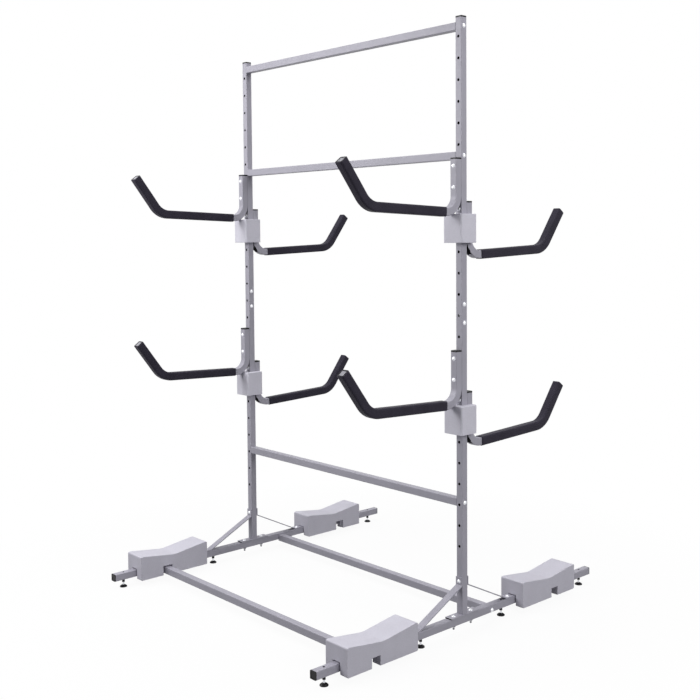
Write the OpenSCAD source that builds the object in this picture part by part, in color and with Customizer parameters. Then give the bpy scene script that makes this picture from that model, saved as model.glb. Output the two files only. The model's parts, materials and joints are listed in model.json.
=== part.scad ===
// Freestanding kayak rack: two perforated posts on a low base, with padded hook arms on both sides.
// Millimetres, +Z up. The origin is on the floor, in the middle of the footprint.
// +X runs from the left post to the right post, and -Y is the front.

/* [Tube] */
// Outside width of the square frame tube
tube = 30; // [26:1:34]
// Wall thickness of the frame tube
tube_wall = 1.6; // [1.5:0.1:2.5]
// Outside corner radius of the frame tube
tube_round = 3; // [2.5:0.5:4]

/* [Base] */
// Distance between the posts, centre to centre
post_spacing = 1335; // [1100:5:1600]
// Length of each base rail
rail_length = 1550; // [1500:5:1700]
// How far the posts stand in front of the middle of the rails
post_forward = 32; // [0:1:45]
// Height of the rails' underside above the floor
rail_lift = 34; // [33:1:45]
// Distance from the posts to the front tie
tie_front_y = 507; // [480:1:530]
// Distance from the posts to the back tie
tie_back_y = 159; // [130:1:190]
// How far the ties sit below the rails' centre
tie_drop = 6; // [0:1:8]

/* [Posts] */
// Distance between neighbouring post holes
hole_pitch = 80; // [75:1:90]
// Number of holes in each post
hole_count = 25; // [24:1:28]
// Diameter of the post holes
hole_d = 9; // [8.6:0.1:10]
// Height of the lowest post hole above the rails
first_hole = 266; // [255:1:300]
// Length of post above its highest hole
post_end = 73; // [55:1:90]
// How far the post joint lies above the nearest hole
joint_offset = 8; // [7:0.5:12]
// Distance between the two bolts of a post joint
joint_bolt_gap = 70; // [64:1:76]
// Length of the sleeve inside a post joint
sleeve_length = 120; // [100:5:140]
// Wall thickness of the joint sleeve
sleeve_wall = 2; // [1.5:0.1:3]
// Length of the base plate welded under a post
plate_length = 156; // [140:2:180]
// Width of the base plate
plate_w = 36; // [34:1:44]
// Thickness of the base plate and of the brace straps
plate_t = 4; // [3:0.5:6]
// Distance between the two bolts of a base plate
plate_bolt_gap = 98; // [80:2:110]

/* [Crossbars] */
// Distance from the post's top down to the top crossbar's centre
top_bar_drop = 34; // [28:1:45]
// How far the bottom crossbar lies above the third hole
bottom_bar_offset = 8; // [8:1:30]

/* [Braces] */
// Width of the brace straps
strap_w = 30; // [24:1:36]
// Height of the brace's bolt above the rails, on the post
brace_bolt_z = 131; // [125:1:150]
// Length of the brace's upper tab above and below its bolt
brace_tab = 17; // [15:1:22]
// Inside radius of the brace's two bends
brace_bend = 5; // [3:0.5:8]
// Where the brace meets the rail, measured from the post's centre
brace_foot_y = 250; // [246:1:260]
// Length of the brace's tab on the rail
brace_foot_length = 40; // [30:1:44]

/* [Arms] */
// Radius of the arm's bend under the post, at its centreline
heel_radius = 60; // [50:1:80]
// Radius of the arm's outer bend, at its centreline
toe_radius = 88; // [60:1:110]
// Rise of the carrying stretch, in degrees
seat_angle = 2.2; // [0:0.1:5]
// Angle of the raised tip above level, in degrees
tip_angle = 53; // [40:1:65]
// Where the outer bend starts, measured from the post's centre
toe_start = 444; // [380:5:520]
// Straight length of the raised tip
tip_length = 150; // [90:5:180]
// Length of leg above the upper arm bolt
leg_above = 28; // [20:1:34]
// Length of leg below the lower arm bolt
leg_below = 31; // [20:1:40]
// Outside width of the arm's foam sleeve
foam_w = 36; // [35:1:46]
// Outside corner radius of the arm's foam sleeve
foam_round = 7; // [4:0.5:10]
// Where the foam sleeve starts, measured from the post's centre
foam_start = 98; // [94:1:140]

/* [Pads] */
// Width of a post pad
pad_w = 92; // [76:1:100]
// Thickness of foam in front of the post
pad_front = 36; // [25:1:37]
// How far a post pad reaches behind the post's centre
pad_back = 36; // [20:1:40]
// Height of a post pad
pad_h = 108; // [90:1:112]
// Distance from the lower bolt it covers to the pad's top
pad_above_bolt = 62; // [58:1:62]
// Corner radius of a post pad
pad_round = 12; // [6:1:16]

/* [Saddles] */
// Width of a saddle block
saddle_w = 112; // [90:1:130]
// Length of a saddle block
saddle_length = 342; // [320:1:350]
// Distance from the posts to a saddle block
saddle_start = 300; // [295:1:310]
// Height of a saddle block's ends above the rails
saddle_rise = 63; // [50:1:90]
// How far a saddle block hangs below the rails' underside
saddle_skirt = 11; // [4:1:15]
// Depth of the saddle's valley
valley_depth = 20; // [12:1:35]
// Radius at the bottom of the valley
valley_radius = 120; // [60:5:200]
// Flat land at each end of the saddle's top
saddle_land = 14; // [8:1:24]
// Corner radius of the saddle's ends
saddle_round = 9; // [4:1:14]
// Length of the slot that clears the tie
slot_length = 40; // [36:1:50]
// Height of the tie slot above the rails' underside
slot_top = 26; // [25.5:0.1:28]

/* [Feet] */
// Distance from the front end of a rail to its first foot
foot_front_inset = 45; // [35:1:60]
// Distance from the back end of a rail to its last foot
foot_back_inset = 55; // [40:1:70]
// Distance from the posts to the inner feet
foot_inner_y = 230; // [200:1:240]
// Diameter of a foot pad
foot_d = 31; // [26:1:40]
// Height of a foot pad
foot_h = 10; // [8:0.5:12]
// Length of the threaded bushing below the rail
bushing_drop = 13; // [8:0.5:14]
// How far the bushing's flange stands out round it
bushing_flange = 2; // [1:0.5:4]
// Length of stud above the rails' underside
stud_above = 14; // [12:1:18]

/* [Fasteners] */
// Shank diameter of every bolt and stud
bolt_d = 8; // [7:0.1:8.2]
// Diameter of a domed bolt head
head_d = 17; // [14:0.5:19]
// Height of a domed bolt head
head_h = 5; // [3:0.5:6]
// Width of a hexagon nut across its flats
nut_w = 13; // [12:0.5:14]
// Height of a hexagon nut
nut_h = 6.5; // [5:0.5:8]
// Length of a threaded insert
insert_length = 12; // [8:0.5:14]
// Diameter of a threaded insert
insert_d = 12; // [11:0.5:14]

/* [Caps] */
// How far the rail plugs stand out
rail_plug_out = 4; // [2:0.5:6]
// Thickness of the post caps and arm caps
cap_t = 3; // [2:0.5:5]
// Depth of every plug inside its tube
plug_depth = 18; // [12:1:24]
// Width of the raised rim round a plug's dished face
plug_rim = 3.5; // [2:0.5:6]
// Depth of a plug's dished face
plug_dish = 1; // [0.5:0.1:1.2]
// Depth of the threaded plugs in the crossbars and ties
bar_plug_depth = 28; // [20:1:34]

/* [Hidden] */

// Sides and directions
left = -1;
right = 1;
front = -1;
back = 1;

// Clearances
fit_gap = 0.3;
thread_gap = 0.15;
stud_gap = 0.05;
seam_length = 2;
seam_proud = 0.03;
cut = 1;

// Finishes
powder_grey = [0.70, 0.70, 0.73];
foam_grey = [0.74, 0.74, 0.75];
foam_black = [0.13, 0.13, 0.14];
plastic_black = [0.08, 0.08, 0.09];
plastic_grey = [0.72, 0.72, 0.74];
zinc = [0.86, 0.87, 0.89];

// Levels and places
half = tube / 2;
bore = tube - 2 * tube_wall;
bore_round = tube_round - tube_wall;
rail_z = rail_lift;
rail_top = rail_z + tube;
rail_mid = rail_z + half;
plate_top = rail_top + plate_t;
post_top = hole_z(hole_count - 1) + post_end;
joint_hole = 11;
middle_bar_hole = 18;
bottom_bar_hole = 2;
joint_z = hole_z(joint_hole) + joint_offset;
bar_top_z = post_top - top_bar_drop;
bar_middle_z = hole_z(middle_bar_hole) + hole_pitch / 2;
bar_bottom_z = hole_z(bottom_bar_hole) + bottom_bar_offset;
bar_levels = [bar_top_z, bar_middle_z, bar_bottom_z];
bar_length = post_spacing - tube;
tie_z = rail_mid - tie_drop;
tie_places = [-tie_front_y, tie_back_y];
rail_front = -rail_length / 2 + post_forward;
rail_back = rail_length / 2 + post_forward;
brace_hole_z = rail_top + brace_bolt_z;
brace_rail_bolt_y = brace_foot_y + brace_foot_length / 2;
foot_places = [rail_front + foot_front_inset, -foot_inner_y, foot_inner_y, rail_back - foot_back_inset];
foot_hole_d = bolt_d + 1.5;

// The lower bolt of each pair of arms: upper front, upper back, lower front, lower back
upper_front_hole = 17;
upper_back_hole = 15;
lower_front_hole = 8;
lower_back_hole = 6;
arm_sets = [
    [front, upper_front_hole], [back, upper_back_hole],
    [front, lower_front_hole], [back, lower_back_hole]
];

// Arm centreline, measured from the arm's lower bolt, with +Y away from the post
heel_y = half + half + heel_radius;
heel_z = -leg_below;
seat_start_y = heel_y + heel_radius * sin(seat_angle);
seat_start_z = heel_z - heel_radius * cos(seat_angle);
seat_length = (toe_start - seat_start_y) / cos(seat_angle);
toe_start_z = seat_start_z + seat_length * sin(seat_angle);
toe_y = toe_start - toe_radius * sin(seat_angle);
toe_z = toe_start_z + toe_radius * cos(seat_angle);
tip_start_y = toe_y + toe_radius * sin(tip_angle);
tip_start_z = toe_z - toe_radius * cos(tip_angle);
foam_bore = tube + 2 * fit_gap;

function hole_z(k) = rail_top + first_hole + k * hole_pitch;
function across(w) = w / cos(30);

// ---- Profiles and placing ----

module round_rect(w, h, r) {
    square([w - 2 * r, h], center = true);
    square([w, h - 2 * r], center = true);
    for (x = [-1, 1], y = [-1, 1])
        translate([x * (w / 2 - r), y * (h / 2 - r)]) circle(r = r, $fn = 48);
}

module tube_section() {
    difference() {
        round_rect(tube, tube, tube_round);
        round_rect(bore, bore, bore_round);
    }
}

module at_posts() {
    translate([0, -post_forward, 0]) children();
}

module at_post(side) {
    at_posts() translate([side * post_spacing / 2, 0, 0]) children();
}

// Turns a piece drawn along +Z to point along +X, -X, +Y or -Y
module along_x() {
    rotate([0, 90, 0]) children();
}

module along_minus_x() {
    rotate([0, -90, 0]) children();
}

module along_y() {
    rotate([-90, 0, 0]) children();
}

module along_minus_y() {
    rotate([90, 0, 0]) children();
}

module tube_run(length) {
    linear_extrude(length) tube_section();
}

// ---- Fasteners ----

// A domed bolt: the head's seat is at z = 0 and the shank runs down
module dome_bolt(length) {
    dome_r = (pow(head_d / 2, 2) + pow(head_h, 2)) / (2 * head_h);
    intersection() {
        translate([0, 0, head_h - dome_r]) sphere(r = dome_r, $fn = 64);
        cylinder(h = head_h + cut, d = head_d, $fn = 64);
    }
    translate([0, 0, -length]) cylinder(h = length, d = bolt_d, $fn = 48);
}

module hex_nut() {
    difference() {
        cylinder(h = nut_h, d = across(nut_w), $fn = 6);
        translate([0, 0, -cut]) cylinder(h = nut_h + 2 * cut, d = bolt_d + 2 * thread_gap, $fn = 48);
    }
}

module threaded_insert() {
    difference() {
        cylinder(h = insert_length, d = insert_d, $fn = 48);
        translate([0, 0, -cut]) cylinder(h = insert_length + 2 * cut, d = bolt_d + 2 * thread_gap, $fn = 48);
    }
}

module hole(d, length) {
    translate([0, 0, -cut]) cylinder(h = length + 2 * cut, d = d, $fn = 48);
}

// ---- Base ----

module rail(side) {
    color(powder_grey) at_post(side) difference() {
        translate([0, rail_front, rail_mid]) along_y() tube_run(rail_length);
        // Levelling feet: a bushing below and an access hole above
        for (y = foot_places) {
            translate([0, y, rail_z]) hole(insert_d + 2 * fit_gap, tube_wall);
            translate([0, y, rail_top - tube_wall]) hole(foot_hole_d, tube_wall);
        }
        // Base plate bolts
        for (y = [-1, 1] * plate_bolt_gap / 2) translate([0, y, rail_z]) hole(hole_d, tube);
        // Brace bolts
        for (y = [-1, 1] * brace_rail_bolt_y) translate([0, y, rail_top - tube_wall]) hole(hole_d, tube_wall);
        // Tie bolts
        for (y = tie_places) translate([-half, y, tie_z]) along_x() hole(hole_d, tube);
    }
}

module rail_left() {
    rail(left);
}

module rail_right() {
    rail(right);
}

// A tube plug: its dished flange lies on z = 0 and its body fills the tube below
module tube_plug(flange_t, depth) {
    dish_w = tube - 2 * plug_rim;
    difference() {
        linear_extrude(flange_t) round_rect(tube, tube, tube_round);
        translate([0, 0, flange_t - plug_dish]) linear_extrude(plug_dish + cut) round_rect(dish_w, dish_w, bore_round);
    }
    translate([0, 0, -depth]) linear_extrude(depth) plug_section();
}

module plug_section() {
    round_rect(bore - 2 * fit_gap, bore - 2 * fit_gap, bore_round);
}

module rail_plugs() {
    color(plastic_black) for (side = [left, right]) at_post(side) {
        translate([0, rail_front, rail_mid]) along_minus_y() tube_plug(rail_plug_out, plug_depth);
        translate([0, rail_back, rail_mid]) along_y() tube_plug(rail_plug_out, plug_depth);
    }
}

module cross_tube(y, z) {
    color(powder_grey) at_posts() translate([-bar_length / 2, y, z]) along_x() tube_run(bar_length);
}

module tie_front() {
    cross_tube(-tie_front_y, tie_z);
}

module tie_back() {
    cross_tube(tie_back_y, tie_z);
}

module foot_bushings() {
    color(plastic_black) for (side = [left, right], y = foot_places) at_post(side)
        translate([0, y, rail_z]) difference() {
            union() {
                translate([0, 0, -bushing_drop]) cylinder(h = bushing_drop + insert_length / 2, d = insert_d, $fn = 48);
                translate([0, 0, -tube_wall]) cylinder(h = tube_wall, d = insert_d + 2 * bushing_flange, $fn = 48);
            }
            translate([0, 0, -bushing_drop]) hole(bolt_d + 2 * stud_gap, bushing_drop + insert_length / 2);
        }
}

// A levelling foot: a domed pad moulded round the end of its stud
module foot(side, place) {
    lip = 3;
    dome_h = foot_h - lip;
    dome_r = (pow(foot_d / 2, 2) + pow(dome_h, 2)) / (2 * dome_h);
    color(plastic_black) at_post(side) translate([0, foot_places[place], 0]) {
        cylinder(h = lip, d = foot_d, $fn = 64);
        translate([0, 0, lip]) intersection() {
            translate([0, 0, dome_h - dome_r]) sphere(r = dome_r, $fn = 96);
            cylinder(h = dome_h + cut, d = foot_d, $fn = 64);
        }
        cylinder(h = rail_z + stud_above, d = bolt_d, $fn = 48);
    }
}

module foot_left_front() {
    foot(left, 0);
}

module foot_left_inner_front() {
    foot(left, 1);
}

module foot_left_inner_back() {
    foot(left, 2);
}

module foot_left_back() {
    foot(left, 3);
}

module foot_right_front() {
    foot(right, 0);
}

module foot_right_inner_front() {
    foot(right, 1);
}

module foot_right_inner_back() {
    foot(right, 2);
}

module foot_right_back() {
    foot(right, 3);
}

// ---- Posts ----

// The post's holes that lie between two levels, and its joint and crossbar bolt holes
module post_holes(low, high) {
    for (k = [0 : hole_count - 1])
        if (hole_z(k) > low && hole_z(k) < high)
            translate([0, -half, hole_z(k)]) along_y() hole(hole_d, tube);
    for (z = concat(bar_levels, [joint_z - joint_bolt_gap / 2, joint_z + joint_bolt_gap / 2]))
        if (z > low && z < high)
            translate([-half, 0, z]) along_x() hole(hole_d, tube);
}

module post_lower(side) {
    color(powder_grey) at_post(side) difference() {
        union() {
            translate([0, 0, plate_top]) tube_run(joint_z - plate_top);
            translate([0, 0, rail_top]) linear_extrude(plate_t) round_rect(plate_w, plate_length, tube_round);
        }
        post_holes(plate_top, joint_z);
        translate([0, -half, brace_hole_z]) along_y() hole(hole_d, tube);
        for (y = [-1, 1] * plate_bolt_gap / 2) translate([0, y, rail_top]) hole(hole_d, plate_t);
    }
}

module post_lower_left() {
    post_lower(left);
}

module post_lower_right() {
    post_lower(right);
}

module post_upper(side) {
    color(powder_grey) at_post(side) difference() {
        translate([0, 0, joint_z]) tube_run(post_top - joint_z);
        post_holes(joint_z, post_top);
    }
}

module post_upper_left() {
    post_upper(left);
}

module post_upper_right() {
    post_upper(right);
}

module joint_sleeves() {
    sleeve_w = bore - 2 * fit_gap;
    sleeve_bore = sleeve_w - 2 * sleeve_wall;
    low = joint_z - sleeve_length / 2;
    color(zinc) for (side = [left, right]) at_post(side) difference() {
        translate([0, 0, low]) linear_extrude(sleeve_length) difference() {
            plug_section();
            square(sleeve_bore, center = true);
        }
        post_holes(low, low + sleeve_length);
    }
}

module post_caps() {
    color(plastic_black) for (side = [left, right]) at_post(side)
        translate([0, 0, post_top]) tube_plug(cap_t, plug_depth);
}

module crossbar_top() {
    cross_tube(0, bar_top_z);
}

module crossbar_middle() {
    cross_tube(0, bar_middle_z);
}

module crossbar_bottom() {
    cross_tube(0, bar_bottom_z);
}

// The places of the crossbars' and ties' ends, as [y, z]
bar_ends = concat([for (z = bar_levels) [0, z]], [for (y = tie_places) [y, tie_z]]);

module bar_plugs() {
    color(plastic_black) at_posts() for (side = [left, right], place = bar_ends)
        translate([side * (bar_length - bar_plug_depth) / 2, place[0], place[1]]) along_x() difference() {
            translate([0, 0, -bar_plug_depth / 2]) linear_extrude(bar_plug_depth) plug_section();
            translate([0, 0, -bar_plug_depth / 2]) hole(bolt_d + 2 * thread_gap, bar_plug_depth);
        }
}

// ---- Braces ----

// A strap bent twice: up the post, down at a slope, and flat along the rail
module brace_profile() {
    difference() {
        brace_side(0, 0);
        brace_side(plate_t, cut);
    }
}

// All that lies outward of the strap's inner side, or of its outer side at an inset of its thickness
module brace_side(inset, spare) {
    drop = brace_bolt_z - brace_tab;
    slope = atan(drop / (brace_foot_y - half));
    top = brace_bolt_z + brace_tab + spare;
    end = brace_foot_y + brace_foot_length + spare;
    bend_r = brace_bend + plate_t;
    knee = [half + bend_r, drop + bend_r * tan(45 - slope / 2)];
    heel = [brace_foot_y + bend_r * tan(slope / 2), bend_r];
    r = bend_r - inset;
    polygon([
        [knee[0] - r, top], [knee[0] - r, knee[1]],
        [knee[0] - r * sin(slope), knee[1] - r * cos(slope)],
        [heel[0] - r * sin(slope), heel[1] - r * cos(slope)],
        [heel[0], heel[1] - r], [end, heel[1] - r], [end, top]
    ]);
    for (centre = [knee, heel]) translate(centre) circle(r = r, $fn = 96);
}

module brace(side, way) {
    color(powder_grey) at_post(side) mirror([0, way == front ? 1 : 0, 0]) difference() {
        translate([-strap_w / 2, 0, rail_top]) rotate([90, 0, 90]) linear_extrude(strap_w) brace_profile();
        translate([0, half, brace_hole_z]) along_y() hole(hole_d, plate_t);
        translate([0, brace_rail_bolt_y, rail_top]) hole(hole_d, plate_t);
    }
}

module brace_front_left() {
    brace(left, front);
}

module brace_front_right() {
    brace(right, front);
}

module brace_back_left() {
    brace(left, back);
}

module brace_back_right() {
    brace(right, back);
}

// ---- Arms ----

// Places a piece drawn from an arm's lower bolt, with +Y away from the post
module at_arm(side, way, hole_index) {
    at_post(side) mirror([0, way == front ? 1 : 0, 0]) translate([0, 0, hole_z(hole_index)]) children();
}

// A straight stretch of the 2D section given as child, from one point of the arm's plane
module arm_straight(y, z, angle, length) {
    translate([0, y, z]) rotate([angle - 90, 0, 0]) linear_extrude(length) children();
}

// A bend of the 2D section given as child, about a point of the arm's plane
module arm_bend(y, z, radius, from, turn) {
    translate([0, y, z]) rotate([90, 0, 90]) rotate([0, 0, from])
        rotate_extrude(angle = turn, $fn = 144) translate([radius, 0]) children();
}

// The ring left where a straight stretch meets a bend, a hair proud of both
module arm_seam(y, z, angle) {
    translate([0, y, z]) rotate([angle - 90, 0, 0])
        linear_extrude(seam_length, center = true) children();
}

module foam_section() {
    difference() {
        round_rect(foam_w, foam_w, foam_round);
        round_rect(foam_bore, foam_bore, tube_round);
    }
}

module seam_section(outer, outer_round, inner, inner_round) {
    difference() {
        round_rect(outer + 2 * seam_proud, outer + 2 * seam_proud, outer_round);
        round_rect(inner - 2 * seam_proud, inner - 2 * seam_proud, inner_round);
    }
}

module arm(side, way, hole_index) {
    leg_length = leg_below + hole_pitch + leg_above;
    color(powder_grey) at_arm(side, way, hole_index) difference() {
        union() {
            translate([0, tube, heel_z]) tube_run(leg_length);
            arm_bend(heel_y, heel_z, heel_radius, 180, 90 + seat_angle) tube_section();
            arm_straight(seat_start_y, seat_start_z, seat_angle, seat_length) tube_section();
            arm_bend(toe_y, toe_z, toe_radius, seat_angle - 90, tip_angle - seat_angle) tube_section();
            arm_straight(tip_start_y, tip_start_z, tip_angle, tip_length) tube_section();
            for (place = [
                [seat_start_y, seat_start_z, seat_angle],
                [toe_start, toe_start_z, seat_angle],
                [tip_start_y, tip_start_z, tip_angle]
            ])
                arm_seam(place[0], place[1], place[2]) seam_section(tube, tube_round, bore, bore_round);
        }
        for (z = [0, hole_pitch]) translate([0, half, z]) along_y() hole(hole_d, tube);
    }
}

module arm_foam(side, way, hole_index) {
    foam_start_z = seat_start_z + (foam_start - seat_start_y) * tan(seat_angle);
    foam_length = (toe_start - foam_start) / cos(seat_angle);
    color(foam_black) at_arm(side, way, hole_index) {
        arm_straight(foam_start, foam_start_z, seat_angle, foam_length) foam_section();
        arm_bend(toe_y, toe_z, toe_radius, seat_angle - 90, tip_angle - seat_angle) foam_section();
        arm_straight(tip_start_y, tip_start_z, tip_angle, tip_length + cap_t) foam_section();
        for (place = [[toe_start, toe_start_z, seat_angle], [tip_start_y, tip_start_z, tip_angle]])
            arm_seam(place[0], place[1], place[2]) seam_section(foam_w, foam_round, foam_bore, tube_round);
    }
}

module arm_upper_front_left() {
    arm(left, front, upper_front_hole);
}

module arm_upper_front_right() {
    arm(right, front, upper_front_hole);
}

module arm_upper_back_left() {
    arm(left, back, upper_back_hole);
}

module arm_upper_back_right() {
    arm(right, back, upper_back_hole);
}

module arm_lower_front_left() {
    arm(left, front, lower_front_hole);
}

module arm_lower_front_right() {
    arm(right, front, lower_front_hole);
}

module arm_lower_back_left() {
    arm(left, back, lower_back_hole);
}

module arm_lower_back_right() {
    arm(right, back, lower_back_hole);
}

module foam_upper_front_left() {
    arm_foam(left, front, upper_front_hole);
}

module foam_upper_front_right() {
    arm_foam(right, front, upper_front_hole);
}

module foam_upper_back_left() {
    arm_foam(left, back, upper_back_hole);
}

module foam_upper_back_right() {
    arm_foam(right, back, upper_back_hole);
}

module foam_lower_front_left() {
    arm_foam(left, front, lower_front_hole);
}

module foam_lower_front_right() {
    arm_foam(right, front, lower_front_hole);
}

module foam_lower_back_left() {
    arm_foam(left, back, lower_back_hole);
}

module foam_lower_back_right() {
    arm_foam(right, back, lower_back_hole);
}

module arm_caps() {
    color(plastic_black) for (side = [left, right], set = arm_sets) at_arm(side, set[0], set[1])
        translate([0, tube, hole_pitch + leg_above]) tube_plug(cap_t, plug_depth);
}

module tip_plugs() {
    tip_y = tip_start_y + tip_length * cos(tip_angle);
    tip_z = tip_start_z + tip_length * sin(tip_angle);
    color(plastic_grey) for (side = [left, right], set = arm_sets) at_arm(side, set[0], set[1])
        translate([0, tip_y, tip_z]) rotate([tip_angle - 90, 0, 0]) tube_plug(cap_t, plug_depth);
}

// ---- Foam pads on the posts ----

// A U-shaped foam block pushed on from the front, with a pocket for the bolt head it covers
module post_pad(side, hole_index) {
    depth = half + pad_front + pad_back;
    channel = tube + 2 * fit_gap;
    channel_front = -half - fit_gap;
    color(foam_grey) at_post(side) translate([0, 0, hole_z(hole_index) + pad_above_bolt - pad_h]) difference() {
        linear_extrude(pad_h) difference() {
            translate([0, pad_back - depth / 2]) round_rect(pad_w, depth, pad_round);
            translate([-channel / 2, channel_front]) square([channel, depth]);
        }
        translate([0, channel_front, pad_h - pad_above_bolt])
            along_minus_y() hole(head_d + 2, head_h);
    }
}

module post_pad_upper_left() {
    post_pad(left, upper_back_hole);
}

module post_pad_upper_right() {
    post_pad(right, upper_back_hole);
}

module post_pad_lower_left() {
    post_pad(left, lower_back_hole);
}

module post_pad_lower_right() {
    post_pad(right, lower_back_hole);
}

// ---- Saddles ----

// The rounded V cut into a saddle's top, drawn round its lowest point's plane
module valley() {
    reach = saddle_length / 2 - saddle_land;
    centre_z = valley_radius - valley_depth;
    span = norm([reach, centre_z]);
    slope = atan2(reach, centre_z) - acos(valley_radius / span);
    touch = [valley_radius * sin(slope), centre_z - valley_radius * cos(slope)];
    polygon([
        [-reach, 0], [-touch[0], touch[1]], [touch[0], touch[1]], [reach, 0],
        [reach, saddle_rise], [-reach, saddle_rise]
    ]);
    translate([0, centre_z]) circle(r = valley_radius, $fn = 180);
}

module saddle(side, way) {
    total = saddle_skirt + tube + saddle_rise;
    slot_z = saddle_skirt + slot_top;
    color(foam_grey) at_post(side) mirror([0, way == front ? 1 : 0, 0])
        translate([0, saddle_start + saddle_length / 2, rail_z - saddle_skirt]) difference() {
            rotate([90, 0, 90]) translate([0, 0, -saddle_w / 2]) linear_extrude(saddle_w) difference() {
                translate([0, total / 2]) round_rect(saddle_length, total, saddle_round);
                translate([0, total]) valley();
                // Slot for the tie and its bolt head
                translate([tie_front_y - saddle_start - saddle_length / 2 - slot_length / 2, -cut])
                    square([slot_length, slot_z + cut]);
            }
            // Channel for the rail
            translate([-half - fit_gap, -saddle_length / 2 - cut, -cut])
                cube([tube + 2 * fit_gap, saddle_length + 2 * cut, saddle_skirt + tube + fit_gap + cut]);
        }
}

module saddle_front_left() {
    saddle(left, front);
}

module saddle_front_right() {
    saddle(right, front);
}

module saddle_back_left() {
    saddle(left, back);
}

module saddle_back_right() {
    saddle(right, back);
}

// ---- Bolts, inserts and nuts ----

// Crossbar and tie bolts, put in from outside and screwed into the tubes' end plugs
module frame_bolts() {
    length = tube + bar_plug_depth - 4;
    out = post_spacing / 2 + half;
    color(zinc) at_posts() for (place = bar_ends) {
        translate([out, place[0], place[1]]) along_x() dome_bolt(length);
        translate([-out, place[0], place[1]]) along_minus_x() dome_bolt(length);
    }
}

// Base plate, brace and post joint bolts
module base_bolts() {
    nut_end = nut_h + 3;
    color(zinc) for (side = [left, right]) at_post(side) {
        for (y = [-1, 1] * plate_bolt_gap / 2)
            translate([0, y, plate_top]) dome_bolt(plate_t + tube + nut_end);
        for (y = [-1, 1] * brace_rail_bolt_y)
            translate([0, y, plate_top]) dome_bolt(plate_t + tube_wall + insert_length);
        translate([0, -half - plate_t, brace_hole_z]) along_minus_y() dome_bolt(tube + 2 * plate_t + nut_end);
        for (z = [-1, 1] * joint_bolt_gap / 2)
            translate([half, 0, joint_z + z]) along_x() dome_bolt(tube + nut_end);
    }
}

// Arm bolts: every head faces the front
module arm_bolts() {
    color(zinc) for (side = [left, right], set = arm_sets, z = [0, hole_pitch]) at_post(side)
        translate([0, set[0] == front ? -half - tube : -half, hole_z(set[1]) + z])
            along_minus_y() dome_bolt(2 * tube);
}

module threaded_inserts() {
    color(zinc) for (side = [left, right]) at_post(side) {
        for (set = arm_sets, z = [0, hole_pitch])
            translate([0, (set[0] == front ? half : half + tube) - tube_wall, hole_z(set[1]) + z])
                along_minus_y() threaded_insert();
        for (y = [-1, 1] * brace_rail_bolt_y)
            translate([0, y, rail_top - tube_wall - insert_length]) threaded_insert();
    }
}

module hex_nuts() {
    color(zinc) for (side = [left, right]) at_post(side) {
        for (y = [-1, 1] * plate_bolt_gap / 2) translate([0, y, rail_z - nut_h]) hex_nut();
        translate([0, half + plate_t, brace_hole_z]) along_y() hex_nut();
        for (z = [-1, 1] * joint_bolt_gap / 2) translate([-half, 0, joint_z + z]) along_minus_x() hex_nut();
    }
}

rail_left();
rail_right();
rail_plugs();
tie_front();
tie_back();
post_lower_left();
post_lower_right();
post_upper_left();
post_upper_right();
joint_sleeves();
post_caps();
crossbar_top();
crossbar_middle();
crossbar_bottom();
bar_plugs();
brace_front_left();
brace_front_right();
brace_back_left();
brace_back_right();
arm_upper_front_left();
arm_upper_front_right();
arm_upper_back_left();
arm_upper_back_right();
arm_lower_front_left();
arm_lower_front_right();
arm_lower_back_left();
arm_lower_back_right();
foam_upper_front_left();
foam_upper_front_right();
foam_upper_back_left();
foam_upper_back_right();
foam_lower_front_left();
foam_lower_front_right();
foam_lower_back_left();
foam_lower_back_right();
arm_caps();
tip_plugs();
post_pad_upper_left();
post_pad_upper_right();
post_pad_lower_left();
post_pad_lower_right();
saddle_front_left();
saddle_front_right();
saddle_back_left();
saddle_back_right();
frame_bolts();
base_bolts();
arm_bolts();
threaded_inserts();
hex_nuts();
foot_bushings();
foot_left_front();
foot_left_inner_front();
foot_left_inner_back();
foot_left_back();
foot_right_front();
foot_right_inner_front();
foot_right_inner_back();
foot_right_back();
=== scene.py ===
import json
import math

import bmesh
import bpy
from mathutils import Matrix, Vector, noise


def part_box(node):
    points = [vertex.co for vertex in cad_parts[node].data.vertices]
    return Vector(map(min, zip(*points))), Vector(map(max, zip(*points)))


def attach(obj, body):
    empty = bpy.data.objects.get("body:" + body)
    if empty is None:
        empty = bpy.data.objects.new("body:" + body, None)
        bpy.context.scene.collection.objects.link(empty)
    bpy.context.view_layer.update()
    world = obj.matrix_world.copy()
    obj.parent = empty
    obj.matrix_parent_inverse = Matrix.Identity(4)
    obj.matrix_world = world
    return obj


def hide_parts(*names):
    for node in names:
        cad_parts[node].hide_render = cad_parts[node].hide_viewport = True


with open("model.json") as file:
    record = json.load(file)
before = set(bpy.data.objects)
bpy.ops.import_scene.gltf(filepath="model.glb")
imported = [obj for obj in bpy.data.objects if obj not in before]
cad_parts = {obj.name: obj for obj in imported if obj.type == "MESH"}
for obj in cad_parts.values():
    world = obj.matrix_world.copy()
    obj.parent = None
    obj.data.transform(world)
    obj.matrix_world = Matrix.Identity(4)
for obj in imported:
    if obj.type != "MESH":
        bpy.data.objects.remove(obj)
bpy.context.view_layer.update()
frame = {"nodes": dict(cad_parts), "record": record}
scene = bpy.context.scene
nodes = frame["nodes"]

MM = 0.001
SIDES = {"left": -1, "right": 1}
WAYS = {"front": -1, "back": 1}

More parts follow.
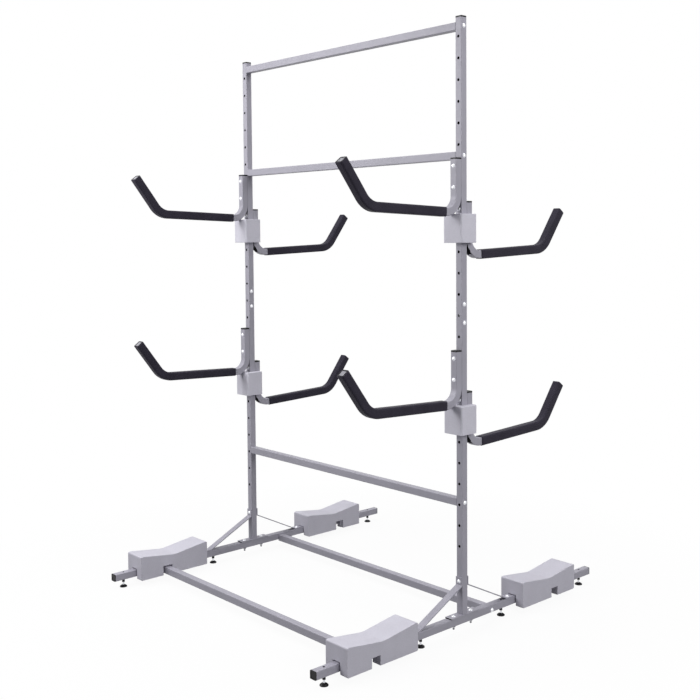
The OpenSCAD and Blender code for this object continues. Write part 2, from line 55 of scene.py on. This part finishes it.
# Sizes repeated from the CAD source, in millimetres
POST_X = 667.5
POST_Y = -32.0
TUBE = 30.0
TUBE_ROUND = 3.0
BORE_ROUND = 1.4
RAIL_Z = 34.0
RAIL_TOP = 64.0
SLOT_TOP = 60.0
PLATE_T = 4.0
PLATE_BOLT_GAP = 98.0
HOLE_R = 4.5
HOLE_Z0 = 330.0
HOLE_PITCH = 80.0
HOLE_COUNT = 25
LEG_ABOVE = 28.0
CAP_T = 3.0
FOAM_GAP = 0.3
ARM_HOLES = {("upper", "front"): 17, ("upper", "back"): 15, ("lower", "front"): 8, ("lower", "back"): 6}

# The saddles, and the slots in them that clear the ties, measured along a rail from its post's axis
SADDLE_FROM, SADDLE_TO = 300.0, 642.0
SADDLE_HALF_W = 56.0
SLOT_FROM, SLOT_TO = 487.0, 527.0


# ---- Camera, at the photograph's view ----

def make_camera():
    place_m = (3.2347, -2.9186, 1.5193)
    heading, elevation, roll = (math.radians(a) for a in (47.887, -2.927, -0.446))
    ahead = Vector((-math.sin(heading) * math.cos(elevation), math.cos(heading) * math.cos(elevation),
                    math.sin(elevation)))
    level_right = Vector((math.cos(heading), math.sin(heading), 0))
    level_up = level_right.cross(ahead)
    right = math.cos(roll) * level_right + math.sin(roll) * level_up
    up = -math.sin(roll) * level_right + math.cos(roll) * level_up
    data = bpy.data.cameras.new("camera")
    data.sensor_width = 36
    data.sensor_fit = "HORIZONTAL"
    data.lens = 52.52
    data.shift_y = -0.0908
    data.clip_end = 100
    camera = bpy.data.objects.new("camera", data)
    camera.matrix_world = Matrix.Translation(place_m) @ Matrix((right, up, -ahead)).transposed().to_4x4()
    scene.collection.objects.link(camera)
    scene.camera = camera


# ---- Node helpers ----

def srgb(r, g, b):
    def lin(c):
        c /= 255
        return c / 12.92 if c <= 0.04045 else ((c + 0.055) / 1.055) ** 2.4
    return (lin(r), lin(g), lin(b), 1)


def shade(colour, k):
    return (*(min(1, c * k) for c in colour[:3]), 1)


def grey(level):
    return (level, level, level, 1)


def new_material(name):
    mat = bpy.data.materials.new(name)
    mat.use_nodes = True
    tree = mat.node_tree
    tree.nodes.clear()
    return mat, tree, tree.nodes.new("ShaderNodeOutputMaterial")


def add(tree, kind, **inputs):
    """A new node, with constants on its own sockets. An underscore stands for a space."""
    n = tree.nodes.new(kind)
    for key, value in inputs.items():
        n.inputs[key.replace("_", " ")].default_value = value
    return n


def object_coords(tree):
    return tree.nodes.new("ShaderNodeTexCoord").outputs["Object"]


def noise_tex(tree, vector, scale, detail=3.0, rough=0.55):
    n = add(tree, "ShaderNodeTexNoise", Scale=scale, Detail=detail, Roughness=rough)
    tree.links.new(vector, n.inputs["Vector"])
    return n.outputs["Fac"]


def ramp(tree, fac, low, high):
    """A colour between two (position, colour) stops."""
    n = tree.nodes.new("ShaderNodeValToRGB")
    for element, (position, colour) in zip(n.color_ramp.elements, (low, high)):
        element.position = position
        element.color = colour
    tree.links.new(fac, n.inputs["Fac"])
    return n.outputs["Color"]


def mottled(tree, coords, base, scale, detail, low, high):
    """A base colour that drifts between two shades of itself over the surface."""
    drift = noise_tex(tree, coords, scale, detail)
    return ramp(tree, drift, (0.3, shade(base, low)), (0.7, shade(base, high)))


def pore_shade(tree, colour, height, low, high):
    """Paints shade into the pits of a fine pattern of pores, and painted light on their tops."""
    tone = ramp(tree, height, (0.05, grey(low)), (0.6, grey(high)))
    n = tree.nodes.new("ShaderNodeVectorMath")
    n.operation = "MULTIPLY"
    tree.links.new(colour, n.inputs[0])
    tree.links.new(tone, n.inputs[1])
    return n.outputs["Vector"]


def bump(tree, height, strength, distance, normal=None):
    n = add(tree, "ShaderNodeBump", Strength=strength, Distance=distance)
    tree.links.new(height, n.inputs["Height"])
    if normal is not None:
        tree.links.new(normal, n.inputs["Normal"])
    return n.outputs["Normal"]


def principled(tree, out, colour, **constants):
    n = add(tree, "ShaderNodeBsdfPrincipled", **constants)
    tree.links.new(colour, n.inputs["Base Color"])
    tree.links.new(n.outputs["BSDF"], out.inputs["Surface"])
    return n


def map_range(tree, value, start, end, low, high):
    n = add(tree, "ShaderNodeMapRange", From_Min=start, From_Max=end, To_Min=low, To_Max=high)
    tree.links.new(value, n.inputs["Value"])
    return n.outputs["Result"]


def combine(tree, operation, a, b):
    n = tree.nodes.new("ShaderNodeMath")
    n.operation = operation
    tree.links.new(a, n.inputs[0])
    tree.links.new(b, n.inputs[1])
    return n.outputs[0]


def seen(tree):
    """1 for what the camera sees, also in gloss or through glass, and 0 for the light that falls on the rack."""
    path = tree.nodes.new("ShaderNodeLightPath").outputs
    direct = combine(tree, "MAXIMUM", path["Is Camera Ray"], path["Is Glossy Ray"])
    return combine(tree, "MAXIMUM", direct, path["Is Transmission Ray"])


def mix_shaders(tree, out, share, a, b):
    n = tree.nodes.new("ShaderNodeMixShader")
    tree.links.new(share, n.inputs["Fac"])
    tree.links.new(a, n.inputs[1])
    tree.links.new(b, n.inputs[2])
    tree.links.new(n.outputs["Shader"], out.inputs["Surface"])


# ---- Materials ----

def powder_coat():
    """Satin silver-grey paint with a fine orange-peel surface and uneven gloss."""
    mat, tree, out = new_material("powder_coat")
    coords = object_coords(tree)
    colour = mottled(tree, coords, srgb(168, 166, 177), 9, 2, 0.96, 1.04)
    shader = principled(tree, out, colour, Metallic=0.05, Roughness=0.44, Specular_IOR_Level=0.4)
    peel = bump(tree, noise_tex(tree, coords, 420, 2, 0.5), 0.22, 0.0004)
    tree.links.new(peel, shader.inputs["Normal"])
    gloss = ramp(tree, noise_tex(tree, coords, 60, 3), (0.3, grey(0.42)), (0.7, grey(0.52)))
    tree.links.new(gloss, shader.inputs["Roughness"])
    return mat


def foam(name, base, drift, cell_scale, pores, pits, waves, **constants):
    """Closed-cell foam: a slightly uneven colour, fine open pores with painted shade in their pits, and a soft
    waviness under them.
    """
    mat, tree, out = new_material(name)
    coords = object_coords(tree)
    cells = add(tree, "ShaderNodeTexVoronoi", Scale=cell_scale)
    tree.links.new(coords, cells.inputs["Vector"])
    height = cells.outputs["Distance"]
    # Painted shade in the pores' pits, painted light on their tops
    colour = pore_shade(tree, mottled(tree, coords, base, *drift), height, *pores)
    shader = principled(tree, out, colour, **constants)
    wave_scale, wave_strength, wave_height = waves
    fine = bump(tree, height, *pits)
    soft = bump(tree, noise_tex(tree, coords, wave_scale, 2), wave_strength, wave_height, fine)
    tree.links.new(soft, shader.inputs["Normal"])
    return mat


def grey_foam(name, base):
    return foam(name, base, drift=(14, 3, 0.97, 1.03), cell_scale=460, pores=(0.90, 1.03),
                pits=(0.45, 0.0005), waves=(22, 0.12, 0.0020),
                Roughness=0.82, Sheen_Weight=0.08, Sheen_Roughness=0.5)


def black_foam():
    return foam("black_foam", srgb(50, 47, 58), drift=(18, 3, 0.85, 1.15), cell_scale=640, pores=(0.72, 1.12),
                pits=(0.5, 0.0004), waves=(30, 0.25, 0.0012), Roughness=0.5, Specular_IOR_Level=0.08)


def hard(name, base, drift, grain=None, **constants):
    """A hard surface with an uneven colour and, where it is given, a fine grain (scale, strength, height)."""
    mat, tree, out = new_material(name)
    coords = object_coords(tree)
    shader = principled(tree, out, mottled(tree, coords, base, *drift), **constants)
    if grain:
        scale, strength, height = grain
        tree.links.new(bump(tree, noise_tex(tree, coords, scale, 2), strength, height), shader.inputs["Normal"])
    return mat


def moulded(name, base, rough, shine):
    return hard(name, base, (40, 2, 0.9, 1.1), (900, 0.15, 0.0002), Roughness=rough, Specular_IOR_Level=shine)


def zinc_plate(name, base, metallic, rough):
    return hard(name, base, (160, 3, 0.9, 1.06), (1200, 0.1, 0.0001), Metallic=metallic, Roughness=rough)


MATS = {
    "powder_grey": powder_coat(),
    "foam_grey": grey_foam("grey_foam", srgb(208, 206, 217)),
    # A lighter copy of the grey foam, as painted light on the pads round the posts
    "foam_pad": grey_foam("pad_foam", srgb(219, 217, 228)),
    "foam_black": black_foam(),
    "plastic_black": moulded("black_plastic", srgb(26, 25, 28), 0.4, 0.22),
    "plastic_grey": moulded("grey_plastic", srgb(150, 149, 156), 0.55, 0.5),
    "zinc": zinc_plate("zinc_plate", srgb(226, 227, 232), 0.85, 0.28),
    # Duller zinc for the threaded parts, darkened as painted shade for the parts under the rails
    "thread": zinc_plate("zinc_thread", srgb(128, 127, 133), 0.5, 0.5),
    # Painted shade: a near-black finish for the steel inside the tubes, which shows dark through their holes
    "bore": hard("tube_bore_painted_shade", srgb(18, 17, 20), (30, 2, 0.85, 1.15), Roughness=0.8, Specular_IOR_Level=0.05),
}
SLOT_OF = {s["node"]: s["material_slot"] for s in frame["record"]["subparts"]}


# ---- Finishes of the CAD nodes ----

def paint(name, mat, chosen):
    """Gives a CAD node its one second finish, on the faces whose centres, in millimetres, pass a test."""
    mesh = nodes[name].data
    mesh.materials.append(MATS[mat])
    for p in mesh.polygons:
        if chosen(p.center / MM):
            p.material_index = 1


def dress_cad():
    for name, obj in nodes.items():
        obj.data.materials.clear()
        obj.data.materials.append(MATS[SLOT_OF[name]])
        for p in obj.data.polygons:
            p.material_index = 0
    # The nuts and bolt ends under the rails are duller than the heads above, and darker as painted shade under
    # the rails
    for name in ("base_bolts", "hex_nuts"):
        paint(name, "thread", lambda c: c.z < RAIL_Z)
    dress_tip_plugs()
    for name in nodes:
        if name.startswith("foot_") and name != "foot_bushings":
            dress_foot(name)


def dress_tip_plugs():
    """Paints shade on the plugs' rims, where they lie in the sleeves' mouths; their dished faces keep the
    lighter grey finish.
    """
    dish_half_w, between_levels = 11.4, 1300
    tip_y, tip_z, tip_angle = arm_path()[-1]

    def is_rim(c):
        level = "upper" if c.z > between_levels else "lower"
        way = "front" if c.y < POST_Y else "back"
        y = WAYS[way] * (c.y - POST_Y) - tip_y
        z = c.z - HOLE_Z0 - HOLE_PITCH * ARM_HOLES[(level, way)] - tip_z
        across = abs(z * math.cos(tip_angle) - y * math.sin(tip_angle))
        return max(abs(abs(c.x) - POST_X), across) >= dish_half_w

    # The rims get the black finish as painted shade
    paint("tip_plugs", "plastic_black", is_rim)


def dress_foot(name):
    """The studs of the levelling feet are bright metal, and their pads are black."""
    stud_r, pad_top = 4.1, 9.5
    lo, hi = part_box(name)
    mid = (lo + hi) / 2 / MM
    paint(name, "zinc", lambda c: math.hypot(c.x - mid.x, c.y - mid.y) < stud_r and c.z > pad_top)


def tube_section_of(name):
    """The two axes across a punched tube, and its centre along them. None for every other node."""
    words = name.split("_")
    if name.startswith(("post_upper", "post_lower")):
        return (0, 1), (SIDES[words[-1]] * POST_X, POST_Y)
    if name in ("rail_left", "rail_right"):
        return (0, 2), (SIDES[words[1]] * POST_X, RAIL_Z + TUBE / 2)
    if name.startswith(("arm_upper", "arm_lower")):
        return (0, 1), (SIDES[words[3]] * POST_X, POST_Y + WAYS[words[2]] * TUBE)
    return None


def dress_bores():
    """Paints shade on the inside faces of the punched tubes and on the walls of their holes, and darkens the
    base plates' cut ends.
    """
    bore_reach, face_reach, hole_reach, plate_end = 13.45, 14.9, 4.6, 77.9
    for name in nodes:
        section = tube_section_of(name)
        if section is None:
            continue
        axes, mid = section
        has_plate = name.startswith("post_lower")

        def is_dark(c):
            near, far = sorted(abs(c[axis] - m) for axis, m in zip(axes, mid))
            in_tube = far < bore_reach or (far < face_reach and near < hole_reach)
            on_plate = has_plate and abs(c.y - POST_Y) > plate_end and c.z < RAIL_TOP + PLATE_T
            return in_tube or on_plate

        # Painted shade inside the tubes and their holes, in the near-black finish
        paint(name, "bore", is_dark)


# ---- Mesh helpers ----

def mesh_object(name, bm, mat):
    mesh = bpy.data.meshes.new(name)
    bm.to_mesh(mesh)
    bm.free()
    obj = bpy.data.objects.new(name, mesh)
    scene.collection.objects.link(obj)
    mesh.materials.append(MATS[mat])
    for p in mesh.polygons:
        p.use_smooth = True
    return obj


def arc(y, z, radius, start, end, count):
    """Points along an arc, with its angles in degrees."""
    angles = (math.radians(start + (end - start) * k / count) for k in range(count + 1))
    return [(y + radius * math.cos(a), z + radius * math.sin(a)) for a in angles]


def rounded_square(width, radius, per_corner, per_side):
    """Points of a rounded square, anticlockwise, evenly shared between corners and sides."""
    h = width / 2 - radius
    centres = ((h, h), (-h, h), (-h, -h), (h, -h))
    pts = []
    for i, (cx, cy) in enumerate(centres):
        pts += arc(cx, cy, radius, 90 * i, 90 * (i + 1), per_corner - 1)
        nx, ny = centres[(i + 1) % 4]
        a = math.radians(90 * (i + 1))
        sx, sy = cx + radius * math.cos(a), cy + radius * math.sin(a)
        ex, ey = nx + radius * math.cos(a), ny + radius * math.sin(a)
        for k in range(1, per_side):
            t = k / per_side
            pts.append((sx + (ex - sx) * t, sy + (ey - sy) * t))
    return pts


def bridge(bm, rings):
    """Quads between each ring of vertices and the next."""
    count = len(rings[0])
    for a, b in zip(rings, rings[1:]):
        for i in range(count):
            j = (i + 1) % count
            bm.faces.new((a[i], a[j], b[j], b[i]))


def prism(points, along):
    """A flat outline pushed along a vector, in millimetres."""
    bm = bmesh.new()
    face = bm.faces.new([bm.verts.new([c * MM for c in p]) for p in points])
    out = bmesh.ops.extrude_face_region(bm, geom=[face])
    moved = [v for v in out["geom"] if isinstance(v, bmesh.types.BMVert)]
    bmesh.ops.translate(bm, verts=moved, vec=[c * MM for c in along])
    bmesh.ops.recalc_face_normals(bm, faces=bm.faces)
    return bm


def box_bm(lo, hi):
    bm = bmesh.new()
    bmesh.ops.create_cube(bm, size=1)
    for v in bm.verts:
        for i in range(3):
            v.co[i] = (lo[i] if v.co[i] < 0 else hi[i]) * MM
    return bm


def place(bm, side, way, z):
    """Moves a mesh drawn from a post's axis, with +Y away from the post, to its place on the rack."""
    m = Matrix.Translation((SIDES[side] * POST_X * MM, POST_Y * MM, z * MM))
    if way == "front":
        m = m @ Matrix.Diagonal((1, -1, 1, 1))
    bm.transform(m)
    if way == "front":
        bmesh.ops.reverse_faces(bm, faces=bm.faces)
    bm.normal_update()


def apply_modifiers(obj):
    deps = bpy.context.evaluated_depsgraph_get()
    deps.update()
    mesh = bpy.data.meshes.new_from_object(obj.evaluated_get(deps))
    old = obj.data
    obj.modifiers.clear()
    obj.data = mesh
    bpy.data.meshes.remove(old)


def soften(obj, cutters):
    """Cuts the channels out, and rounds the cut edges as moulded or knife-cut foam has them."""
    edge_w, edge_angle = 1.6, 28
    helpers = []
    for bm in cutters:
        mesh = bpy.data.meshes.new("cutter")
        bm.to_mesh(mesh)
        bm.free()
        helper = bpy.data.objects.new("cutter", mesh)
        scene.collection.objects.link(helper)
        helpers.append(helper)
        cut = obj.modifiers.new("cut", "BOOLEAN")
        cut.operation = "DIFFERENCE"
        cut.solver = "EXACT"
        cut.object = helper
    bevel = obj.modifiers.new("edge", "BEVEL")
    bevel.width = edge_w * MM
    bevel.segments = 4
    bevel.limit_method = "ANGLE"
    bevel.angle_limit = math.radians(edge_angle)
    bevel.harden_normals = False
    normals = obj.modifiers.new("normals", "WEIGHTED_NORMAL")
    normals.keep_sharp = True
    bpy.context.view_layer.update()
    apply_modifiers(obj)
    for helper in helpers:
        bpy.data.objects.remove(helper)
    for p in obj.data.polygons:
        p.use_smooth = True


def foam_piece(obj, node):
    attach(obj, "frame")
    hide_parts(node)


# ---- Foam sleeves on the arms ----

def arm_path():
    """Stations along a foam sleeve's centreline: (y, z, angle), from the arm's lower bolt, in millimetres."""
    heel_r, toe_r, seat, tip = 60.0, 88.0, math.radians(2.2), math.radians(53)
    heel_y, heel_z = TUBE + heel_r, -31.0
    seat_y = heel_y + heel_r * math.sin(seat)
    seat_z = heel_z - heel_r * math.cos(seat)
    toe_start, foam_start, tip_len = 444.0, 98.0, 153.0
    toe_z = seat_z + (toe_start - seat_y) * math.tan(seat)
    cy, cz = toe_start - toe_r * math.sin(seat), toe_z + toe_r * math.cos(seat)
    on_seat, on_toe, on_tip = 40, 28, 20
    stations = []
    for k in range(on_seat):
        y = foam_start + (toe_start - foam_start) * k / on_seat
        stations.append((y, seat_z + (y - seat_y) * math.tan(seat), seat))
    for k in range(on_toe):
        a = seat + (tip - seat) * k / on_toe
        stations.append((cy + toe_r * math.sin(a), cz - toe_r * math.cos(a), a))
    end_y, end_z = cy + toe_r * math.sin(tip), cz - toe_r * math.cos(tip)
    for k in range(on_tip + 1):
        t = tip_len * k / on_tip
        stations.append((end_y + t * math.cos(tip), end_z + t * math.sin(tip), tip))
    return stations


def sleeve_mesh(seed):
    """A foam sleeve in the arm's own plane: rings of the outer face, a rolled lip at each end, and the bore."""
    outer_w, outer_r, inner_w, inner_r = 36.0, 7.0, 30.6, 3.0
    lip, sunk, unevenness = 1.6, 0.5, 0.012
    # How fast the unevenness changes round the sleeve and along it, and from sleeve to sleeve
    around, along_arm, step = 0.035, 0.018, 7.3
    # How far the lip has turned in towards the bore, and how much of its depth it takes
    roll = ((0.62, 0.0), (0.34, 0.12), (0.12, 0.6))
    outer = rounded_square(outer_w, outer_r, 7, 4)
    inner = rounded_square(inner_w, inner_r, 7, 4)
    stations = arm_path()
    bm = bmesh.new()
    rings = []

    def ring(station, along, pts, swell=0):
        y, z, a = station
        ca, sa = math.cos(a), math.sin(a)
        y, z = y + along * ca, z + along * sa
        vs = []
        for px, pn in pts:
            n = noise.noise(Vector((px * around + seed * step, y * along_arm, z * along_arm + pn * around)))
            k = 1 + swell * unevenness * n
            vs.append(bm.verts.new((px * k * MM, (y - sa * pn * k) * MM, (z + ca * pn * k) * MM)))
        rings.append(vs)

    def between(t):
        return [(o[0] + (i[0] - o[0]) * t, o[1] + (i[1] - o[1]) * t) for o, i in zip(outer, inner)]

    # Near lip, outer face, tip lip, then back through the bore
    for turn, depth in roll:
        ring(stations[0], depth * lip, between(turn))
    ring(stations[0], lip, outer, 0.3)
    for station in stations[1:-1]:
        ring(station, 0, outer, 1.0)
    ring(stations[-1], -lip, outer, 0.3)
    for turn, depth in reversed(roll):
        ring(stations[-1], -depth * lip, between(turn))
    ring(stations[-1], -sunk, inner)
    for station in reversed(stations[2:-1:2]):
        ring(station, 0, inner)
    ring(stations[0], sunk, inner)
    bridge(bm, rings + rings[:1])
    bmesh.ops.recalc_face_normals(bm, faces=bm.faces)
    return bm


def make_sleeves():
    seed = 0
    for (level, way), k in ARM_HOLES.items():
        for side in SIDES:
            seed += 1
            bm = sleeve_mesh(seed)
            place(bm, side, way, HOLE_Z0 + HOLE_PITCH * k)
            node = f"foam_{level}_{way}_{side}"
            foam_piece(mesh_object("sleeve_" + node[5:], bm, "foam_black"), node)


# ---- Foam saddles on the rails ----

def saddle_profile():
    """The block's side view round its own middle: its ends, its lands, and the rounded V between them."""
    top, bottom, rise = 127.0, 23.0, 20.0
    land, valley_r, corner = 14.0, 120.0, 6.0
    half = (SADDLE_TO - SADDLE_FROM) / 2
    reach = half - land
    over = valley_r - rise
    slope = math.atan2(reach, over) - math.acos(valley_r / math.hypot(reach, over))
    steep = math.degrees(slope)
    end = half - corner
    return [
        *arc(-end, bottom + corner, corner, 180, 270, 6),
        *arc(end, bottom + corner, corner, 270, 360, 6),
        *arc(end, top - corner, corner, 0, 60, 5),
        (reach, top),
        *arc(0, top + over, valley_r, 270 + steep, 270 - steep, 10),
        (-reach, top),
        *arc(-end, top - corner, corner, 120, 180, 5),
    ]


def make_saddles():
    # The channels open out where the tubes enter, so a dark gap shows round them
    relief, depth, slot_relief = 3.5, 16.0, 3.0
    # How far the cutters reach beyond the block
    before, after, beside = SADDLE_FROM - 50, SADDLE_TO + 58, 80.0
    centre = (SADDLE_FROM + SADDLE_TO) / 2
    half, wide = TUBE / 2 + FOAM_GAP, TUBE / 2 + relief
    outline = [(-SADDLE_HALF_W, y + centre, z) for y, z in saddle_profile()]
    for side in SIDES:
        inner_x = -SIDES[side] * SADDLE_HALF_W
        for way in WAYS:
            bm = prism(outline, (2 * SADDLE_HALF_W, 0, 0))
            cutters = [
                box_bm((-half, before, 0), (half, after, RAIL_TOP + FOAM_GAP)),
                box_bm((-beside, SLOT_FROM, 0), (beside, SLOT_TO, SLOT_TOP)),
                box_bm((-wide, before, 0), (wide, SADDLE_FROM + depth, RAIL_TOP + relief)),
                box_bm((-wide, SADDLE_TO - depth, 0), (wide, after, RAIL_TOP + relief)),
                box_bm((inner_x - depth, SLOT_FROM - slot_relief, 0),
                       (inner_x + depth, SLOT_TO + slot_relief, SLOT_TOP + relief)),
            ]
            for part in (bm, *cutters):
                place(part, side, way, 0)
            obj = mesh_object(f"block_{way}_{side}", bm, "foam_grey")
            soften(obj, cutters)
            foam_piece(obj, f"saddle_{way}_{side}")


# ---- Foam pads round the posts ----

def make_pads():
    half_w, front, back, corner, height = 46.0, -51.0, 36.0, 8.0, 108.0
    top_above_hole = 62.0
    # How far the channel's cutter reaches beyond the pad
    behind, below, above = 24.0, 20.0, 22.0
    half = TUBE / 2 + FOAM_GAP
    x = half_w - corner
    centres = ((x, back - corner), (-x, back - corner), (-x, front + corner), (x, front + corner))
    outline = []
    for turn, (cx, cy) in enumerate(centres):
        outline += arc(cx, cy, corner, 90 * turn, 90 * (turn + 1), 8)
    for side in SIDES:
        for level in ("upper", "lower"):
            low = HOLE_Z0 + HOLE_PITCH * ARM_HOLES[(level, "back")] + top_above_hole - height
            bm = prism([(x, y, low) for x, y in outline], (0, 0, height))
            channel = box_bm((-half, -half, low - below), (half, back + behind, low + height + above))
            for part in (bm, channel):
                place(part, side, "back", 0)
            # The pads take the lighter painted-light copy of the grey foam
            obj = mesh_object(f"wrap_{level}_{side}", bm, "foam_pad")
            soften(obj, [channel])
            foam_piece(obj, f"post_pad_{level}_{side}")


# ---- Caps on the tops of the arms' legs and of the posts ----

def add_cap(bm, x, y, z):
    """A moulded cap on a tube's end at z: a stub in the bore, a thin skirt outside, and a dished top."""
    outside, inside, stub_w, dish_w = TUBE + 0.3, TUBE + 0.02, 26.6, TUBE - 6.7
    stub, skirt, edge, dish = 18.0, 3.0, 1.0, 1.0
    quarter = [math.radians(90 * k / 4) for k in range(5)]
    steps = [
        (stub_w - 1, -stub), (stub_w, 1 - stub), (stub_w, 0),
        (inside, 0), (inside, -skirt), (outside, -skirt),
        *((outside - 2 * edge * (1 - math.cos(a)), CAP_T - edge * (1 - math.sin(a))) for a in quarter),
        (dish_w + 0.5, CAP_T), (dish_w, CAP_T - 0.3), (dish_w - 0.6, CAP_T - dish),
    ]
    rings = []
    for width, up in steps:
        radius = TUBE_ROUND + (width - TUBE) / 2 if width > stub_w + 1 else BORE_ROUND
        pts = rounded_square(width, radius, 7, 2)
        rings.append([bm.verts.new(((x + px) * MM, (y + py) * MM, (z + up) * MM)) for px, py in pts])
    bridge(bm, rings)
    bm.faces.new(list(reversed(rings[0])))
    bm.faces.new(rings[-1])


def make_caps():
    """The CAD's caps are flush plates. These reach down over the tubes' ends, as in the photograph."""
    legs = [(SIDES[side] * POST_X, POST_Y + WAYS[way] * TUBE, HOLE_Z0 + HOLE_PITCH * (k + 1) + LEG_ABOVE)
            for (_, way), k in ARM_HOLES.items() for side in SIDES]
    post_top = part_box("post_caps")[1].z / MM - CAP_T
    posts = [(SIDES[side] * POST_X, POST_Y, post_top) for side in SIDES]
    for name, node, places in (("leg_caps", "arm_caps", legs), ("post_tops", "post_caps", posts)):
        bm = bmesh.new()
        for x, y, z in places:
            add_cap(bm, x, y, z)
        bmesh.ops.recalc_face_normals(bm, faces=bm.faces)
        obj = mesh_object(name, bm, "plastic_black")
        obj.data.set_sharp_from_angle(angle=math.radians(35))
        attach(obj, "frame")
        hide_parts(node)


# ---- Rims of the posts' free holes, in painted shade ----

def make_hole_rim_shade():
    """Punched edges in the near-black painted-shade finish, which make the posts' free holes read larger than
    their bores.
    """
    rim_r, around = 5.6, 24
    # Radius, and height over the tube's face
    section = [(rim_r, -0.05), (rim_r - 0.05, 0.10), (4.95, 0.16), (HOLE_R, 0.05), (HOLE_R - 0.07, -0.4),
               (HOLE_R - 0.07, -1.2), (HOLE_R - 0.02, -1.2), (HOLE_R - 0.02, -0.05)]
    held = {k + i for k in ARM_HOLES.values() for i in (0, 1)}
    free = [k for k in range(HOLE_COUNT) if k not in held]
    bm = bmesh.new()
    for side in SIDES:
        for way in WAYS.values():
            for k in free:
                x, y, z = SIDES[side] * POST_X, POST_Y + way * TUBE / 2, HOLE_Z0 + HOLE_PITCH * k
                rings = []
                for i in range(around):
                    a = 2 * math.pi * i / around
                    rings.append([bm.verts.new(((x + r * math.cos(a)) * MM, (y + way * out) * MM,
                                                (z + r * math.sin(a)) * MM)) for r, out in section])
                bridge(bm, rings + rings[:1])
    bmesh.ops.recalc_face_normals(bm, faces=bm.faces)
    # The rims take the near-black finish: painted shade round each hole
    obj = mesh_object("shaded_hole_rims", bm, "bore")
    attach(obj, "frame")


# ---- Threaded ends of the base plates' bolts ----

def thread_surface(radius, length, pitch, depth):
    """A threaded rod pointing down from the origin, with a tapered lead at its free end, in millimetres."""
    around, per_pitch, lead, lead_slope = 32, 8, 1.0, 0.8
    count = round(length / pitch * per_pitch)
    bm = bmesh.new()
    rings = []
    for k in range(count + 1):
        z = length * k / count
        taper = max(0, z - (length - lead)) * lead_slope
        ring = []
        for i in range(around):
            turn = (z / pitch - i / around) % 1
            r = radius - depth * 2 * min(turn, 1 - turn) - taper
            a = 2 * math.pi * i / around
            ring.append(bm.verts.new((r * math.cos(a) * MM, r * math.sin(a) * MM, -z * MM)))
        rings.append(ring)
    bridge(bm, rings)
    bm.faces.new(rings[0])
    bm.faces.new(list(reversed(rings[-1])))
    bmesh.ops.recalc_face_normals(bm, faces=bm.faces)
    return bm


def make_bolt_ends():
    """The bolts' threads reach on below the plain ends that the CAD solids have."""
    thread_r, pitch, depth = 3.95, 1.25, 0.6
    top, low = RAIL_Z - 9.4, 17.0
    for side in SIDES:
        for way in WAYS:
            bm = thread_surface(thread_r, top - low, pitch, depth)
            y = POST_Y + WAYS[way] * PLATE_BOLT_GAP / 2
            bm.transform(Matrix.Translation((SIDES[side] * POST_X * MM, y * MM, top * MM)))
            # In the duller zinc, darkened as painted shade under the rails
            obj = mesh_object(f"bolt_end_{way}_{side}", bm, "thread")
            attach(obj, "frame")


# ---- Floor, light and background ----

def make_floor():
    bm = bmesh.new()
    bmesh.ops.create_grid(bm, x_segments=1, y_segments=1, size=30)
    mesh = bpy.data.meshes.new("floor")
    bm.to_mesh(mesh)
    bm.free()
    floor = bpy.data.objects.new("floor", mesh)
    scene.collection.objects.link(floor)
    mat, tree, out = new_material("floor_white")
    mesh.materials.append(mat)
    # White where it is seen, and darker where it throws light back up at the rack
    visible = seen(tree)
    tone = ramp(tree, visible, (0.0, (0.20, 0.20, 0.21, 1)), (1.0, grey(0.85)))
    diffuse = tree.nodes.new("ShaderNodeBsdfDiffuse")
    tree.links.new(tone, diffuse.inputs["Color"])
    glow = add(tree, "ShaderNodeEmission", Color=grey(1), Strength=1.0)
    # The floor keeps a faint shadow near the rack, and is plain white further out
    distance = tree.nodes.new("ShaderNodeVectorMath")
    distance.operation = "LENGTH"
    tree.links.new(tree.nodes.new("ShaderNodeNewGeometry").outputs["Position"], distance.inputs[0])
    shadow_full, shadow_gone, glow_near = 0.9, 1.9, 0.94
    fade = map_range(tree, distance.outputs["Value"], shadow_full, shadow_gone, glow_near, 1.0)
    share = combine(tree, "MULTIPLY", visible, fade)
    mix_shaders(tree, out, share, diffuse.outputs["BSDF"], glow.outputs["Emission"])


def make_world():
    world = bpy.data.worlds.new("world")
    scene.world = world
    world.use_nodes = True
    tree = world.node_tree
    tree.nodes.clear()
    out = tree.nodes.new("ShaderNodeOutputWorld")
    # The surroundings are dim at the horizon and brighter overhead
    direction = tree.nodes.new("ShaderNodeSeparateXYZ")
    tree.links.new(tree.nodes.new("ShaderNodeTexCoord").outputs["Generated"], direction.inputs[0])
    horizon, overhead = 0.03, 0.40
    sky = map_range(tree, direction.outputs["Z"], 0.0, 1.0, horizon, overhead)
    light = add(tree, "ShaderNodeBackground", Color=(0.97, 0.97, 1.0, 1))
    tree.links.new(sky, light.inputs["Strength"])
    white = add(tree, "ShaderNodeBackground", Color=grey(1), Strength=1.0)
    mix_shaders(tree, out, seen(tree), light.outputs["Background"], white.outputs["Background"])


def area_light(name, pos, target, size, power):
    data = bpy.data.lights.new(name, "AREA")
    data.shape = "SQUARE"
    data.size = size
    data.energy = power
    obj = bpy.data.objects.new(name, data)
    obj.location = pos
    obj.visible_camera = False
    obj.rotation_euler = (Vector(target) - Vector(pos)).to_track_quat("-Z", "Y").to_euler()
    scene.collection.objects.link(obj)


def make_lights():
    area_light("front_high", (-1.5, -2.0, 2.7), (-0.4, 0, 1.7), 1.6, 40)
    area_light("front_level", (-0.5, -2.4, 1.8), (0, 0, 1.7), 1.4, 20)
    area_light("overhead", (0.0, 0.4, 5.2), (0, 0, 0.8), 4.0, 88)
    area_light("right_side", (5.6, 0.2, 3.3), (0, 0, 1.6), 2.2, 146)


make_camera()
dress_cad()
dress_bores()
make_sleeves()
make_saddles()
make_pads()
make_caps()
make_hole_rim_shade()
make_bolt_ends()
make_floor()
make_world()
make_lights()
scene.view_settings.view_transform = "Standard"

bpy.context.view_layer.update()
